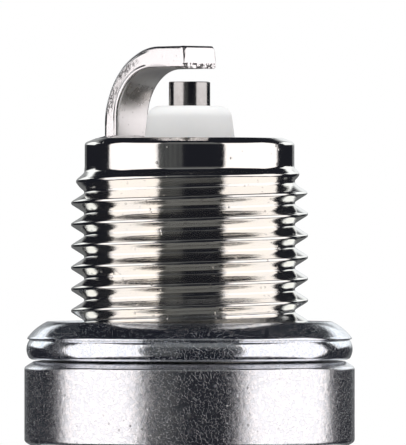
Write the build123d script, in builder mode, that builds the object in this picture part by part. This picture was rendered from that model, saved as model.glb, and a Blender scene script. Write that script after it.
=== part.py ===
from build123d import *

import os
from math import cos, radians, tan

# Spark plug with a 14 mm thread, a flat seat with a folded gasket, and a removable terminal nut.
#
# Millimetres. Z is the plug's axis, with the firing end up. z = 0 is the gasket's sealing face,
# where the cylinder head meets the plug. The ground electrode is welded on at -X and reaches
# over the centre electrode towards +X.

# ---- Driving dimensions: thread and firing end of the shell ----
thread_diameter = 13.75
thread_pitch = 1.25
thread_half_angle = 30.0
thread_height_ratio = 0.6134  # of a rolled 60 degree thread's height to its pitch
groove_overcut = 0.9  # of the way from the crest to where two grooves would meet
reach = 10.64  # from the gasket's sealing face to the end of the shell
end_land_length = 1.60  # smooth band between the end of the shell and the thread
end_land_undercut = 0.03  # how far the land lies below the thread root
end_bevel_width = 0.70
end_bevel_height = 0.28
neck_undercut = 0.10  # how far the plain neck under the thread lies below the root
neck_length = 0.95  # plain neck between the flange and the thread's run-out
thread_start_angle = 125.0  # about Z, where the rolled groove begins above the flange
groove_start_clearance = 0.05  # between the flange and the lowest edge of the groove

# ---- Driving dimensions: gasket, flange, hexagon and crimp ----
hex_across_flats = 20.8
hex_height = 8.6
hex_corner_inset = 0.15  # how far the turned corners lie inside the sharp ones
hex_chamfer_angle = 25.0
hex_wall = 3.0  # steel between a flat of the hexagon and the wide bore
seat_width = 2.70  # how far the flange reaches out beyond the thread
flange_height = 5.0
flange_bevel_width = 0.56
flange_bevel_height = 0.34
groove_height = 2.3
groove_wall = 1.0
groove_bulge = 0.18  # the hot-crimped wall swells outwards by this much
crimp_height = 1.85
crimp_wall = 1.25
lip_thickness = 0.9375  # of the crimped edge, drawn thinner than the wall
lip_flat = 0.35  # ground edge of the lip, across
lip_bevel = 0.2  # at the inner corner of the lip
crimp_arc_slack = 1.02  # how much rounder than its rise the crimp's arc is
bore_run_in = 0.3  # of the wide bore past the hexagon, before the wall curls in
gasket_inset = 0.125  # how far the gasket lies inside the flange
gasket_height = 2.20
gasket_sheet = 0.36
gasket_upper_fold = 1.0  # from the middle of the top layer to the middle of the next one
gasket_fold_gap = 0.04  # between the curled edge of the top layer and the belly
gasket_curl_inset = 0.05  # of the top layer's curl inside the belly
gasket_play = 0.09  # axial play between the gasket and the flange
gasket_thread_clearance = 0.20
gasket_tab_count = 3
gasket_tab_arc = 16.0  # degrees
gasket_tab_root = 0.3  # how far the tabs are rooted in the bottom layer
gasket_tab_bite = 0.40  # how far the tabs reach inside the thread crests

# ---- Driving dimensions: bore of the shell ----
chamber_wall = 1.50  # between the firing chamber and the thread root
ledge_step = 0.45  # how far the ledge stands in from the chamber
ledge_land = 1.1  # straight part of the ledge
trunk_wall = 1.15  # between the trunk bore and the thread root
seat_cone_angle = 30.0  # of the ledge and the insulator's seat, from the horizontal
bore_step_below_flange_top = 4.0  # where the wide bore is reached

# ---- Driving dimensions: insulator ----
nose_projection = 1.85  # of the nose beyond the shell
nose_taper = 0.13  # growth of the nose's radius per mm
nose_corner = 0.70
nose_round_ratio = 0.92  # height of the nose's rounded corner against its width
nose_arc_slack = 1.02  # how much larger than the corner its arc's radius is
nose_wall_ratio = 0.8  # the most of the nose's wall that its corner may take
end_wall_ratio = 0.6  # the most of the barrel's wall that its end corner may take
leg_length = 9.5  # from the tip of the nose to the end of the ledge
leg_clearance = 0.55  # between the leg and the ledge
trunk_clearance = 0.15
body_clearance = 0.15
packing_width = 1.45  # annulus between the neck and the wide bore
crimp_clearance = 0.15
neck_beyond_crimp = 1.3
rib_count = 5
rib_pitch = 2.7
rib_depth = 0.62
barrel_length = 9.6  # smooth part between the last rib and the terminal
barrel_end_inset = 1.25  # how much slimmer the barrel's end is than its ribs
barrel_end_corner = 0.7
insulator_bore_radius = 1.95

# ---- Driving dimensions: packings ----
seat_packing_thickness = 0.35
seat_packing_clearance = 0.05  # between the washer and the ledge's bore
packing_wire_clearance = 0.02
packing_wire_gap = 0.01  # between the upper wire and the curled wall
body_cylinder_length = 7.3  # of the insulator's thickest part
shoulder_angle = 45.0

# ---- Driving dimensions: electrodes ----
electrode_radius = 1.20
electrode_bore_clearance = 0.05
electrode_projection = 1.41  # of the centre electrode beyond the insulator's nose
electrode_head_inset = 0.20  # how far the head lies inside the seal's bore
electrode_head_height = 1.3
electrode_tip_chamfer = 0.04
electrode_head_depth = 12.2  # from the tip of the insulator's nose to the head's shoulder
copper_core_radius = 0.72
copper_core_cover = 1.4  # nickel over the end of the copper core
spark_gap = 0.75
strip_width = 2.60
strip_thickness = 1.32
leg_thickness = 1.15  # the strip is drawn thinner where it is bent
strip_setback = 0.17  # of the strip's outer face from the land's surface
strip_overhang = 0.88  # of the strip's tip past the axis
strip_edge_radius = 0.22
bend_outer_radius = 4.5
bend_inner_radius = 2.85
weld_height = 0.22
weld_side_width = 0.42
weld_inner_width = 0.10
weld_slope = 28.0  # of the bead's sides, from upright

# ---- Driving dimensions: seal, resistor, stud and terminal nut ----
glass_clearance = 0.02
lower_seal_length = 2.6
resistor_length = 7.5
upper_seal_length = 3.6
stud_bottom_gap = 1.1  # glass between the resistor and the end of the stud
stud_inset = 0.25  # how far the stud lies inside the insulator's bore
stud_knurl_depth = 0.16
stud_knurl_count = 3
stud_knurl_pitch = 0.7
collar_overlap = 1.0  # how far the collar reaches beyond the insulator's bore
collar_thickness = 0.9
stud_thread_radius = 1.96
stud_thread_pitch = 0.7
stud_thread_clearance = 0.08
stud_run_out = 1.5  # turns of smooth neck between the collar and the last groove
stud_relief = 0.05  # how far the stud's neck and tip lie below its thread root
nut_height = 8.7
nut_crown_radius = 3.175
nut_crown_height = 3.6
nut_crown_corner = 0.9
nut_base_height = 2.6
nut_waist_radius = 2.65
nut_corner = 0.25
nut_seat_gap = 0.02
stud_tip_recess = 0.5  # of the stud's tip inside the nut's crown

# ---- Worked out: radii ----
thread_radius = thread_diameter / 2
thread_depth = thread_height_ratio * thread_pitch
root_radius = thread_radius - thread_depth
land_radius = root_radius - end_land_undercut
neck_radius = root_radius - neck_undercut
flange_radius = thread_radius + seat_width
wide_bore_radius = hex_across_flats / 2 - hex_wall
groove_radius = wide_bore_radius + groove_wall
crimp_radius = wide_bore_radius + crimp_wall
gasket_radius = flange_radius - gasket_inset
gasket_bore_radius = thread_radius + gasket_thread_clearance
chamber_radius = root_radius - chamber_wall
ledge_radius = chamber_radius - ledge_step
trunk_bore_radius = root_radius - trunk_wall
trunk_radius = trunk_bore_radius - trunk_clearance
body_radius = wide_bore_radius - body_clearance
insulator_neck_radius = wide_bore_radius - packing_width
barrel_end_radius = insulator_neck_radius - barrel_end_inset
packing_wire_radius = packing_width / 2 - packing_wire_clearance
packing_ring_radius = insulator_neck_radius + packing_width / 2
leg_base_radius = ledge_radius - leg_clearance
nose_radius = leg_base_radius - nose_taper * leg_length
electrode_bore_radius = electrode_radius + electrode_bore_clearance
seal_radius = insulator_bore_radius - glass_clearance
electrode_head_radius = insulator_bore_radius - electrode_head_inset
stud_radius = insulator_bore_radius - stud_inset
collar_radius = insulator_bore_radius + collar_overlap
nut_bore_radius = stud_thread_radius + stud_thread_clearance

# ---- Worked out: heights, from the firing end down ----
shell_end_z = reach
nose_z = shell_end_z + nose_projection
electrode_z = nose_z + electrode_projection
strip_under_z = electrode_z + spark_gap
strip_top_z = strip_under_z + strip_thickness
thread_start_z = shell_end_z - end_land_length
flange_z = -gasket_height - gasket_play
thread_end_z = flange_z + neck_length
groove_z = flange_z - flange_height
hex_z = groove_z - groove_height
crimp_z = hex_z - hex_height
lip_z = crimp_z - crimp_height
ledge_z = nose_z - leg_length
seat_rise = tan(radians(seat_cone_angle))
seat_z = ledge_z - ledge_land
trunk_bore_z = seat_z - (trunk_bore_radius - ledge_radius) * seat_rise
wide_bore_z = flange_z - bore_step_below_flange_top
step_bore_z = wide_bore_z + (wide_bore_radius - trunk_bore_radius)
body_z = wide_bore_z - body_clearance
shoulder_z = body_z - body_cylinder_length
shoulder_rise = tan(radians(shoulder_angle))
insulator_neck_z = shoulder_z - (body_radius - insulator_neck_radius) * shoulder_rise
rib_z = lip_z - neck_beyond_crimp
barrel_z = rib_z - rib_count * rib_pitch
insulator_end_z = barrel_z - barrel_length
head_z = nose_z - electrode_head_depth
head_base_z = head_z - electrode_head_height
resistor_z = head_base_z - lower_seal_length
upper_seal_z = resistor_z - resistor_length
stud_bottom_z = upper_seal_z - stud_bottom_gap
seal_end_z = upper_seal_z - upper_seal_length
collar_z = insulator_end_z - collar_thickness
nut_z = collar_z - nut_seat_gap
nut_end_z = nut_z - nut_height
stud_tip_z = nut_end_z + stud_tip_recess

os.makedirs("parts", exist_ok=True)


def write(part, label):
    """Names the finished piece and writes it as its own node."""
    part.label = label
    export_step(part, f"parts/{label}.step")


def groove_width_at(height, pitch):
    """Width of a 60 degree thread groove that far above its flat root."""
    depth = thread_height_ratio * pitch
    root_flat = pitch - pitch / 8 - 2 * depth * tan(radians(thread_half_angle))
    return root_flat + 2 * height * tan(radians(thread_half_angle))


def groove_turn(radius, pitch):
    """One turn of the helical groove between two thread crests, as a solid to cut away."""
    depth = thread_height_ratio * pitch
    root = radius - depth
    beyond = pitch / 16 / tan(radians(thread_half_angle)) * groove_overcut
    with BuildPart() as turn:
        with BuildLine() as path:
            Helix(pitch, pitch, root)
        with BuildSketch(Plane((root, 0, 0), x_dir=(1, 0, 0), z_dir=(0, -1, 0))):
            with BuildLine():
                inner = groove_width_at(0, pitch) / 2
                outer = groove_width_at(depth + beyond, pitch) / 2
                Polyline(
                    (0, -inner),
                    (depth + beyond, -outer),
                    (depth + beyond, outer),
                    (0, inner),
                    close=True,
                )
            make_face()
        sweep(path=path.line, is_frenet=True)
    return turn.part


def turn_locations(pitch, z_low, z_high, start_angle=0):
    """Where each turn of a groove goes, from the lowest up, until one reaches z_high."""
    count = int((z_high - z_low) / pitch) + 1
    return [Location((0, 0, z_low + turn * pitch), (0, 0, start_angle)) for turn in range(count)]


# ---- Shell: one steel piece from the firing end to the crimped lip ----
shell_turn = groove_turn(thread_radius, thread_pitch)
shell_groove_z = flange_z + thread_pitch / 2 + groove_start_clearance
with BuildPart() as shell:
    # Outer form, turned. The hexagon's band is left as a disc and cut to flats afterwards.
    hex_corner_radius = hex_across_flats / 2 / cos(radians(30)) - hex_corner_inset
    chamfer_run = hex_corner_radius - hex_across_flats / 2
    chamfer_rise = chamfer_run * tan(radians(hex_chamfer_angle))
    lip_radius = insulator_neck_radius + crimp_clearance
    with BuildSketch(Plane.XZ):
        with BuildLine():
            Polyline(
                (0, shell_end_z),
                (land_radius - end_bevel_width, shell_end_z),
                (land_radius, shell_end_z - end_bevel_height),
                (land_radius, thread_start_z),
                (thread_radius, thread_start_z - (thread_radius - land_radius)),
                (thread_radius, thread_end_z + (thread_radius - neck_radius)),
                (neck_radius, thread_end_z),
                (neck_radius, flange_z),
                (flange_radius - flange_bevel_width, flange_z),
                (flange_radius, flange_z - flange_bevel_height),
                (flange_radius, groove_z + flange_bevel_height),
                (flange_radius - flange_bevel_width, groove_z),
                (groove_radius, groove_z),
            )
            ThreePointArc(
                (groove_radius, groove_z),
                (groove_radius + groove_bulge, (groove_z + hex_z) / 2),
                (groove_radius, hex_z),
            )
            Polyline(
                (groove_radius, hex_z),
                (hex_across_flats / 2, hex_z),
                (hex_corner_radius, hex_z - chamfer_rise),
                (hex_corner_radius, crimp_z + chamfer_rise),
                (hex_across_flats / 2, crimp_z),
                (crimp_radius, crimp_z),
            )
            crimp_rise = crimp_height - lip_flat
            RadiusArc(
                (crimp_radius, crimp_z),
                (lip_radius + lip_flat, lip_z),
                -max(crimp_radius - lip_radius, crimp_rise) * crimp_arc_slack,
            )
            Polyline(
                (lip_radius + lip_flat, lip_z),
                (lip_radius, lip_z + lip_bevel),
                (lip_radius, lip_z + lip_thickness),
                (0, lip_z + lip_thickness),
                (0, shell_end_z),
            )
        make_face()
    revolve(axis=Axis.Z)
    # Flats of the hexagon.
    with BuildSketch(Plane.XY.offset(crimp_z)):
        Circle(hex_corner_radius + 1)
        RegularPolygon(hex_across_flats / 2, 6, major_radius=False, mode=Mode.SUBTRACT)
    extrude(amount=hex_height, mode=Mode.SUBTRACT)
    # Stepped bore, open at both ends.
    with BuildSketch(Plane.XZ):
        with BuildLine():
            Polyline(
                (0, shell_end_z + 1),
                (chamber_radius, shell_end_z + 1),
                (chamber_radius, ledge_z + ledge_step * seat_rise),
                (ledge_radius, ledge_z),
                (ledge_radius, seat_z),
                (trunk_bore_radius, trunk_bore_z),
                (trunk_bore_radius, step_bore_z),
                (wide_bore_radius, wide_bore_z),
                (wide_bore_radius, crimp_z - bore_run_in),
                (lip_radius, lip_z + lip_thickness),
                (lip_radius, lip_z - 1),
                (0, lip_z - 1),
                close=True,
            )
        make_face()
    revolve(axis=Axis.Z, mode=Mode.SUBTRACT)
    # Rolled thread. The groove runs out into the air over the land and over the neck.
    for place in turn_locations(thread_pitch, shell_groove_z, thread_start_z, thread_start_angle):
        with Locations(place):
            add(shell_turn, mode=Mode.SUBTRACT)
write(shell.part, "shell")

# ---- Gasket: a ring folded from one strip of sheet, held on the neck by three tabs ----
with BuildPart() as gasket:
    top_layer_z = -gasket_sheet / 2
    middle_layer_z = top_layer_z - gasket_upper_fold
    bottom_layer_z = -gasket_height + gasket_sheet / 2
    inner_fold = gasket_upper_fold / 2
    belly_fold = (middle_layer_z - bottom_layer_z) / 2
    curl = gasket_upper_fold - gasket_sheet / 2 - gasket_fold_gap
    inner_fold_x = gasket_bore_radius + gasket_sheet / 2 + inner_fold
    belly_x = gasket_radius - gasket_sheet / 2 - belly_fold
    curl_x = gasket_radius - gasket_curl_inset - gasket_sheet / 2 - curl
    with BuildSketch(Plane.XZ):
        with BuildLine():
            CenterArc((curl_x, top_layer_z - curl), curl, 0, 90)
            Line((curl_x, top_layer_z), (inner_fold_x, top_layer_z))
            CenterArc((inner_fold_x, top_layer_z - inner_fold), inner_fold, 90, 180)
            Line((inner_fold_x, middle_layer_z), (belly_x, middle_layer_z))
            CenterArc((belly_x, middle_layer_z - belly_fold), belly_fold, 90, -180)
            Line((belly_x, bottom_layer_z), (gasket_bore_radius, bottom_layer_z))
        trace(line_width=gasket_sheet)
    revolve(axis=Axis.Z)
    # Tabs staked in from the bottom layer, under the thread's last crest.
    tab_radius = thread_radius - gasket_tab_bite
    with BuildSketch(Plane.XY.offset(-gasket_height)):
        with PolarLocations(0, gasket_tab_count):
            with BuildLine():
                half_tab = gasket_tab_arc / 2
                tip = CenterArc((0, 0), tab_radius, -half_tab, gasket_tab_arc)
                rim = CenterArc((0, 0), gasket_bore_radius + gasket_tab_root, -half_tab, gasket_tab_arc)
                Line(tip @ 0, rim @ 0)
                Line(tip @ 1, rim @ 1)
            make_face()
    extrude(amount=gasket_sheet)
write(gasket.part, "gasket")

# ---- Ground electrode: a nickel strip welded to the shell's end and bent over the gap ----
with BuildPart() as ground_electrode:
    leg_outer_x = -(land_radius - strip_setback)
    leg_inner_x = leg_outer_x + leg_thickness
    outer_bend_x = leg_outer_x + bend_outer_radius
    inner_bend_x = leg_inner_x + bend_inner_radius
    with BuildSketch(Plane.XZ):
        with BuildLine():
            Line((leg_outer_x, shell_end_z), (leg_outer_x, strip_top_z - bend_outer_radius))
            CenterArc((outer_bend_x, strip_top_z - bend_outer_radius), bend_outer_radius, 180, -90)
            Line((outer_bend_x, strip_top_z), (strip_overhang, strip_top_z))
            Line((strip_overhang, strip_top_z), (strip_overhang, strip_under_z))
            Line((strip_overhang, strip_under_z), (inner_bend_x, strip_under_z))
            CenterArc((inner_bend_x, strip_under_z - bend_inner_radius), bend_inner_radius, 90, 90)
            Line((leg_inner_x, strip_under_z - bend_inner_radius), (leg_inner_x, shell_end_z))
            Line((leg_inner_x, shell_end_z), (leg_outer_x, shell_end_z))
        make_face()
    extrude(amount=strip_width / 2, both=True)
    long_edges = [
        edge
        for edge in edges()
        if abs(abs(edge.center().Y) - strip_width / 2) < 0.01
        and edge.center().Z > shell_end_z + 0.01
        and edge.center().X < strip_overhang - 0.01
    ]
    fillet(long_edges, radius=strip_edge_radius)
    # Weld bead around the foot, trimmed flush with the land and lying on the bevel.
    bead_low_z = shell_end_z - end_bevel_height
    bead_length = leg_thickness + strip_setback + weld_inner_width
    with BuildSketch(Plane.XY.offset(bead_low_z)):
        with Locations((-land_radius + bead_length / 2, 0)):
            RectangleRounded(
                bead_length,
                strip_width + 2 * weld_side_width,
                weld_side_width,
            )
    extrude(amount=end_bevel_height + weld_height, taper=weld_slope)
    with BuildSketch(Plane.XZ):
        with BuildLine():
            Polyline(
                (0, bead_low_z),
                (0, shell_end_z),
                (land_radius - end_bevel_width, shell_end_z),
                (land_radius, bead_low_z),
                close=True,
            )
        make_face()
    revolve(axis=Axis.Z, mode=Mode.SUBTRACT)
    with BuildSketch(Plane.XY.offset(bead_low_z)):
        Circle(land_radius * 2)
        Circle(land_radius, mode=Mode.SUBTRACT)
    extrude(amount=strip_top_z - bead_low_z, mode=Mode.SUBTRACT)
write(ground_electrode.part, "ground_electrode")

# ---- Insulator: one alumina piece from the nose to the terminal end ----
with BuildPart() as insulator:
    nose_wall = nose_radius - electrode_bore_radius
    corner = min(nose_corner, nose_wall * nose_wall_ratio)
    seat_drop = seat_packing_thickness / cos(radians(seat_cone_angle))
    cone_foot_z = seat_z - seat_drop + (ledge_radius - leg_base_radius) * seat_rise
    trunk_z = seat_z - seat_drop - (trunk_radius - ledge_radius) * seat_rise
    body_cone_z = body_z + (body_radius - trunk_radius)
    end_wall = barrel_end_radius - insulator_bore_radius
    end_corner = min(barrel_end_corner, end_wall * end_wall_ratio)
    rib_mid_radius = insulator_neck_radius - rib_depth / 2
    with BuildSketch(Plane.XZ):
        with BuildLine():
            nose_round = corner * nose_round_ratio
            Line((0, nose_z), (nose_radius - corner, nose_z))
            RadiusArc(
                (nose_radius - corner, nose_z),
                (nose_radius + corner * nose_taper, nose_z - nose_round),
                corner * nose_arc_slack,
            )
            Polyline(
                (nose_radius + corner * nose_taper, nose_z - nose_round),
                (leg_base_radius, ledge_z),
                (leg_base_radius, cone_foot_z),
                (trunk_radius, trunk_z),
                (trunk_radius, body_cone_z),
                (body_radius, body_z),
                (body_radius, shoulder_z),
                (insulator_neck_radius, insulator_neck_z),
                (insulator_neck_radius, rib_z + rib_pitch / 4),
                (rib_mid_radius, rib_z),
            )
            for rib in range(rib_count):
                top = rib_z - rib * rib_pitch
                ThreePointArc(
                    (rib_mid_radius, top),
                    (rib_mid_radius - rib_depth / 2, top - rib_pitch / 4),
                    (rib_mid_radius, top - rib_pitch / 2),
                )
                ThreePointArc(
                    (rib_mid_radius, top - rib_pitch / 2),
                    (rib_mid_radius + rib_depth / 2, top - rib_pitch * 3 / 4),
                    (rib_mid_radius, top - rib_pitch),
                )
            Polyline(
                (rib_mid_radius, barrel_z),
                (rib_mid_radius - rib_depth / 2, barrel_z - rib_pitch / 4),
                (barrel_end_radius, insulator_end_z + end_corner),
            )
            RadiusArc(
                (barrel_end_radius, insulator_end_z + end_corner),
                (barrel_end_radius - end_corner, insulator_end_z),
                end_corner,
            )
            Polyline(
                (barrel_end_radius - end_corner, insulator_end_z),
                (0, insulator_end_z),
                (0, nose_z),
            )
        make_face()
    revolve(axis=Axis.Z)
    # Stepped bore: narrow for the centre electrode, wide for the seal and the stud.
    head_cone = insulator_bore_radius - electrode_bore_radius
    with BuildSketch(Plane.XZ):
        with BuildLine():
            Polyline(
                (0, nose_z + 1),
                (electrode_bore_radius, nose_z + 1),
                (electrode_bore_radius, head_z + head_cone),
                (insulator_bore_radius, head_z),
                (insulator_bore_radius, insulator_end_z - 1),
                (0, insulator_end_z - 1),
                close=True,
            )
        make_face()
    revolve(axis=Axis.Z, mode=Mode.SUBTRACT)
write(insulator.part, "insulator")

# ---- Seat packing: a coned sheet washer between the ledge and the insulator ----
with BuildPart() as seat_packing:
    packing_inner = ledge_radius + seat_packing_clearance
    packing_outer = trunk_radius
    inner_top_z = seat_z - (packing_inner - ledge_radius) * seat_rise
    outer_top_z = seat_z - (packing_outer - ledge_radius) * seat_rise
    with BuildSketch(Plane.XZ):
        with BuildLine():
            Polyline(
                (packing_inner, inner_top_z),
                (packing_outer, outer_top_z),
                (packing_outer, outer_top_z - seat_drop),
                (packing_inner, inner_top_z - seat_drop),
                close=True,
            )
        make_face()
    revolve(axis=Axis.Z)
write(seat_packing.part, "seat_packing")

# ---- Crimp packings: two wire rings with talc pressed between them ----
wire_on_shoulder = packing_wire_radius / cos(radians(shoulder_angle))
shoulder_mid_z = shoulder_z - (body_radius - packing_ring_radius) * shoulder_rise
lower_ring_z = shoulder_mid_z - wire_on_shoulder
lip_cone_height = lip_z + lip_thickness - (crimp_z - bore_run_in)
lip_cone_rise = lip_cone_height / (lip_radius - wide_bore_radius)
lip_mid_z = lip_z + lip_thickness + (packing_ring_radius - lip_radius) * lip_cone_rise
upper_ring_z = lip_mid_z + packing_wire_radius * (1 + lip_cone_rise**2) ** 0.5 + packing_wire_gap

with BuildPart() as lower_packing_ring:
    with BuildSketch(Plane.XZ):
        with Locations((packing_ring_radius, lower_ring_z)):
            Circle(packing_wire_radius)
    revolve(axis=Axis.Z)
write(lower_packing_ring.part, "lower_packing_ring")

with BuildPart() as upper_packing_ring:
    with BuildSketch(Plane.XZ):
        with Locations((packing_ring_radius, upper_ring_z)):
            Circle(packing_wire_radius)
    revolve(axis=Axis.Z)
write(upper_packing_ring.part, "upper_packing_ring")

with BuildPart() as talc:
    talc_width = packing_width - 2 * packing_wire_clearance
    with BuildSketch(Plane.XZ):
        with Locations((packing_ring_radius, (lower_ring_z + upper_ring_z) / 2)):
            Rectangle(talc_width, lower_ring_z - upper_ring_z)
        with Locations(
            (packing_ring_radius, lower_ring_z),
            (packing_ring_radius, upper_ring_z),
        ):
            Circle(packing_wire_radius + packing_wire_clearance, mode=Mode.SUBTRACT)
    revolve(axis=Axis.Z)
write(talc.part, "talc")

# ---- Centre electrode: a nickel sheath around a copper core ----
with BuildPart() as center_electrode:
    head_rise = electrode_head_radius - electrode_radius
    head_shoulder_z = head_z - (insulator_bore_radius - electrode_head_radius)
    core_end_z = electrode_z - copper_core_cover
    with BuildSketch(Plane.XZ):
        with BuildLine():
            Polyline(
                (0, electrode_z),
                (electrode_radius, electrode_z),
                (electrode_radius, head_shoulder_z + head_rise),
                (electrode_head_radius, head_shoulder_z),
                (electrode_head_radius, head_base_z),
                (copper_core_radius, head_base_z),
                (copper_core_radius, core_end_z - copper_core_radius),
                (0, core_end_z),
                close=True,
            )
        make_face()
    revolve(axis=Axis.Z)
    tip_edges = edges().filter_by(GeomType.CIRCLE).group_by(Axis.Z)[-1]
    chamfer(tip_edges, length=electrode_tip_chamfer)
write(center_electrode.part, "center_electrode")

with BuildPart() as copper_core:
    with BuildSketch(Plane.XZ):
        with BuildLine():
            Polyline(
                (0, core_end_z),
                (copper_core_radius, core_end_z - copper_core_radius),
                (copper_core_radius, head_base_z),
                (0, head_base_z),
                close=True,
            )
        make_face()
    revolve(axis=Axis.Z)
write(copper_core.part, "copper_core")

# ---- Terminal stud: knurled foot in the glass, collar on the insulator, threaded post ----
stud_neck_radius = stud_thread_radius - thread_height_ratio * stud_thread_pitch - stud_relief
stud_chamfer = stud_thread_radius - stud_neck_radius
stud_thread_start_z = collar_z - stud_thread_pitch
stud_turn = groove_turn(stud_thread_radius, stud_thread_pitch)
stud_groove_z = stud_tip_z - stud_thread_pitch
stud_groove_end_z = collar_z - stud_thread_pitch * stud_run_out - groove_start_clearance
with BuildPart() as terminal_stud:
    with BuildSketch(Plane.XZ):
        with BuildLine():
            foot_points = [(0, stud_bottom_z), (stud_radius - stud_knurl_depth, stud_bottom_z)]
            for ring in range(stud_knurl_count):
                ring_z = stud_bottom_z - ring * stud_knurl_pitch
                foot_points += [
                    (stud_radius, ring_z - stud_knurl_pitch / 2),
                    (stud_radius - stud_knurl_depth, ring_z - stud_knurl_pitch),
                ]
            foot_end_z = stud_bottom_z - stud_knurl_count * stud_knurl_pitch
            Polyline(
                *foot_points,
                (stud_radius, foot_end_z - stud_knurl_depth),
                (stud_radius, insulator_end_z),
                (collar_radius, insulator_end_z),
                (collar_radius, collar_z),
                (stud_neck_radius, collar_z),
                (stud_neck_radius, stud_thread_start_z),
                (stud_thread_radius, stud_thread_start_z - stud_chamfer),
                (stud_thread_radius, stud_tip_z + stud_chamfer),
                (stud_neck_radius, stud_tip_z),
                (0, stud_tip_z),
                close=True,
            )
        make_face()
    revolve(axis=Axis.Z)
    for place in turn_locations(stud_thread_pitch, stud_groove_z, stud_groove_end_z):
        with Locations(place):
            add(stud_turn, mode=Mode.SUBTRACT)
write(terminal_stud.part, "terminal_stud")

# ---- Glass seals and resistor, fused in the insulator's bore ----
with BuildPart() as lower_seal:
    with BuildSketch(Plane.XZ):
        with BuildLine():
            skirt_z = head_base_z + electrode_head_height / 2
            Polyline(
                (0, head_base_z),
                (electrode_head_radius, head_base_z),
                (electrode_head_radius, skirt_z),
                (seal_radius, skirt_z),
                (seal_radius, resistor_z),
                (0, resistor_z),
                close=True,
            )
        make_face()
    revolve(axis=Axis.Z)
write(lower_seal.part, "lower_glass_seal")

with BuildPart() as resistor:
    with BuildSketch(Plane.XY.offset(resistor_z)):
        Circle(seal_radius)
    extrude(amount=-resistor_length)
write(resistor.part, "resistor")

with BuildPart() as upper_seal:
    with BuildSketch(Plane.XZ):
        with BuildLine():
            Polyline(
                (0, upper_seal_z),
                (seal_radius, upper_seal_z),
                (seal_radius, seal_end_z),
                (stud_radius, seal_end_z),
                (stud_radius, foot_end_z - stud_knurl_depth),
                *reversed(foot_points),
                close=True,
            )
        make_face()
    revolve(axis=Axis.Z)
write(upper_seal.part, "upper_glass_seal")

# ---- Terminal nut: the contact that the plug cap snaps on to ----
with BuildPart() as terminal_nut:
    base_end_z = nut_z - nut_base_height
    crown_z = nut_end_z + nut_crown_height
    waist_mid_z = (base_end_z + crown_z) / 2
    with BuildSketch(Plane.XZ):
        with BuildLine():
            Polyline(
                (nut_bore_radius, nut_z),
                (nut_crown_radius - nut_corner, nut_z),
                (nut_crown_radius, nut_z - nut_corner),
                (nut_crown_radius, base_end_z + nut_corner),
                (nut_crown_radius - nut_corner, base_end_z),
            )
            ThreePointArc(
                (nut_crown_radius - nut_corner, base_end_z),
                (nut_waist_radius, waist_mid_z),
                (nut_crown_radius - nut_corner, crown_z),
            )
            Polyline(
                (nut_crown_radius - nut_corner, crown_z),
                (nut_crown_radius, crown_z - nut_corner),
                (nut_crown_radius, nut_end_z + nut_crown_corner),
            )
            RadiusArc(
                (nut_crown_radius, nut_end_z + nut_crown_corner),
                (nut_crown_radius - nut_crown_corner, nut_end_z),
                nut_crown_corner,
            )
            Polyline(
                (nut_crown_radius - nut_crown_corner, nut_end_z),
                (nut_bore_radius, nut_end_z),
                (nut_bore_radius, nut_z),
            )
        make_face()
    revolve(axis=Axis.Z)
write(terminal_nut.part, "terminal_nut")

print(f"overall length {strip_top_z - nut_end_z:.2f}, seat to terminal {-nut_end_z:.2f}")
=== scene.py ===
# %% [markdown]
# # A spark plug, seen close at its firing end
#
# The plug is small, bright metal. Almost everything that the eye reads on it is a reflection, so
# this lesson spends its effort on three things: edges that are really rounded and catch light,
# plated surfaces that are a little uneven, and a studio that is worth reflecting.

# %% The frame
import math

import bpy
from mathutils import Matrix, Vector, noise


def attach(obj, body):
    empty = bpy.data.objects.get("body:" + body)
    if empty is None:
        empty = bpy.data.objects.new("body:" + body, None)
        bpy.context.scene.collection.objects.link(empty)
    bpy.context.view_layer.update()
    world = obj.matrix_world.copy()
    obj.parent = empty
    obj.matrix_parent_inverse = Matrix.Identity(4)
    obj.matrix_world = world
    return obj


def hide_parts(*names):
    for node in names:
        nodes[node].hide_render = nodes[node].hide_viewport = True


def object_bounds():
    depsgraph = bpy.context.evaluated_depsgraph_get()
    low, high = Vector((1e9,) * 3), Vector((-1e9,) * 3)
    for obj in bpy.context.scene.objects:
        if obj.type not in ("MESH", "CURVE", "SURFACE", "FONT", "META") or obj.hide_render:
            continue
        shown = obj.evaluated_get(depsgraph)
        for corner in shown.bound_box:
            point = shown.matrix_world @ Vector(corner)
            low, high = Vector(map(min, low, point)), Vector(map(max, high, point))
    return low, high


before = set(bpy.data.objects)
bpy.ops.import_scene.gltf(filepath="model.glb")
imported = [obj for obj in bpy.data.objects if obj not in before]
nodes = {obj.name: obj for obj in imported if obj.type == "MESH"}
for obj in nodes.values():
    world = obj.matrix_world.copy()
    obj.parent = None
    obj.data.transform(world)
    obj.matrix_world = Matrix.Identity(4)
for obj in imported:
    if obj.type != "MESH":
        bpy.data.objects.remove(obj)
cad_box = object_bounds()
MM = 0.001
print("CAD box, mm:", [[round(v / MM, 2) for v in corner] for corner in cad_box])

# %% [markdown]
# ## Camera
#
# A plug this size is shot with a long lens from well back, so that its cylinders keep straight
# sides. The camera is level, a little above the middle of the thread, and turned so that it sees
# both a side of the ground electrode and its cut end.

# %% Camera
VIEW_AZIMUTH = math.radians(46)
VIEW_HEIGHT = 25.80  # how much of the plug the frame's long side covers
VIEW_Z = 5.74
VIEW_OFFSET = 0.78  # of the frame's middle to the right of the axis
CAMERA_DISTANCE = 500
SENSOR = 36

to_camera = Vector((math.sin(VIEW_AZIMUTH), -math.cos(VIEW_AZIMUTH), 0))
to_right = Vector((math.cos(VIEW_AZIMUTH), math.sin(VIEW_AZIMUTH), 0))

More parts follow.
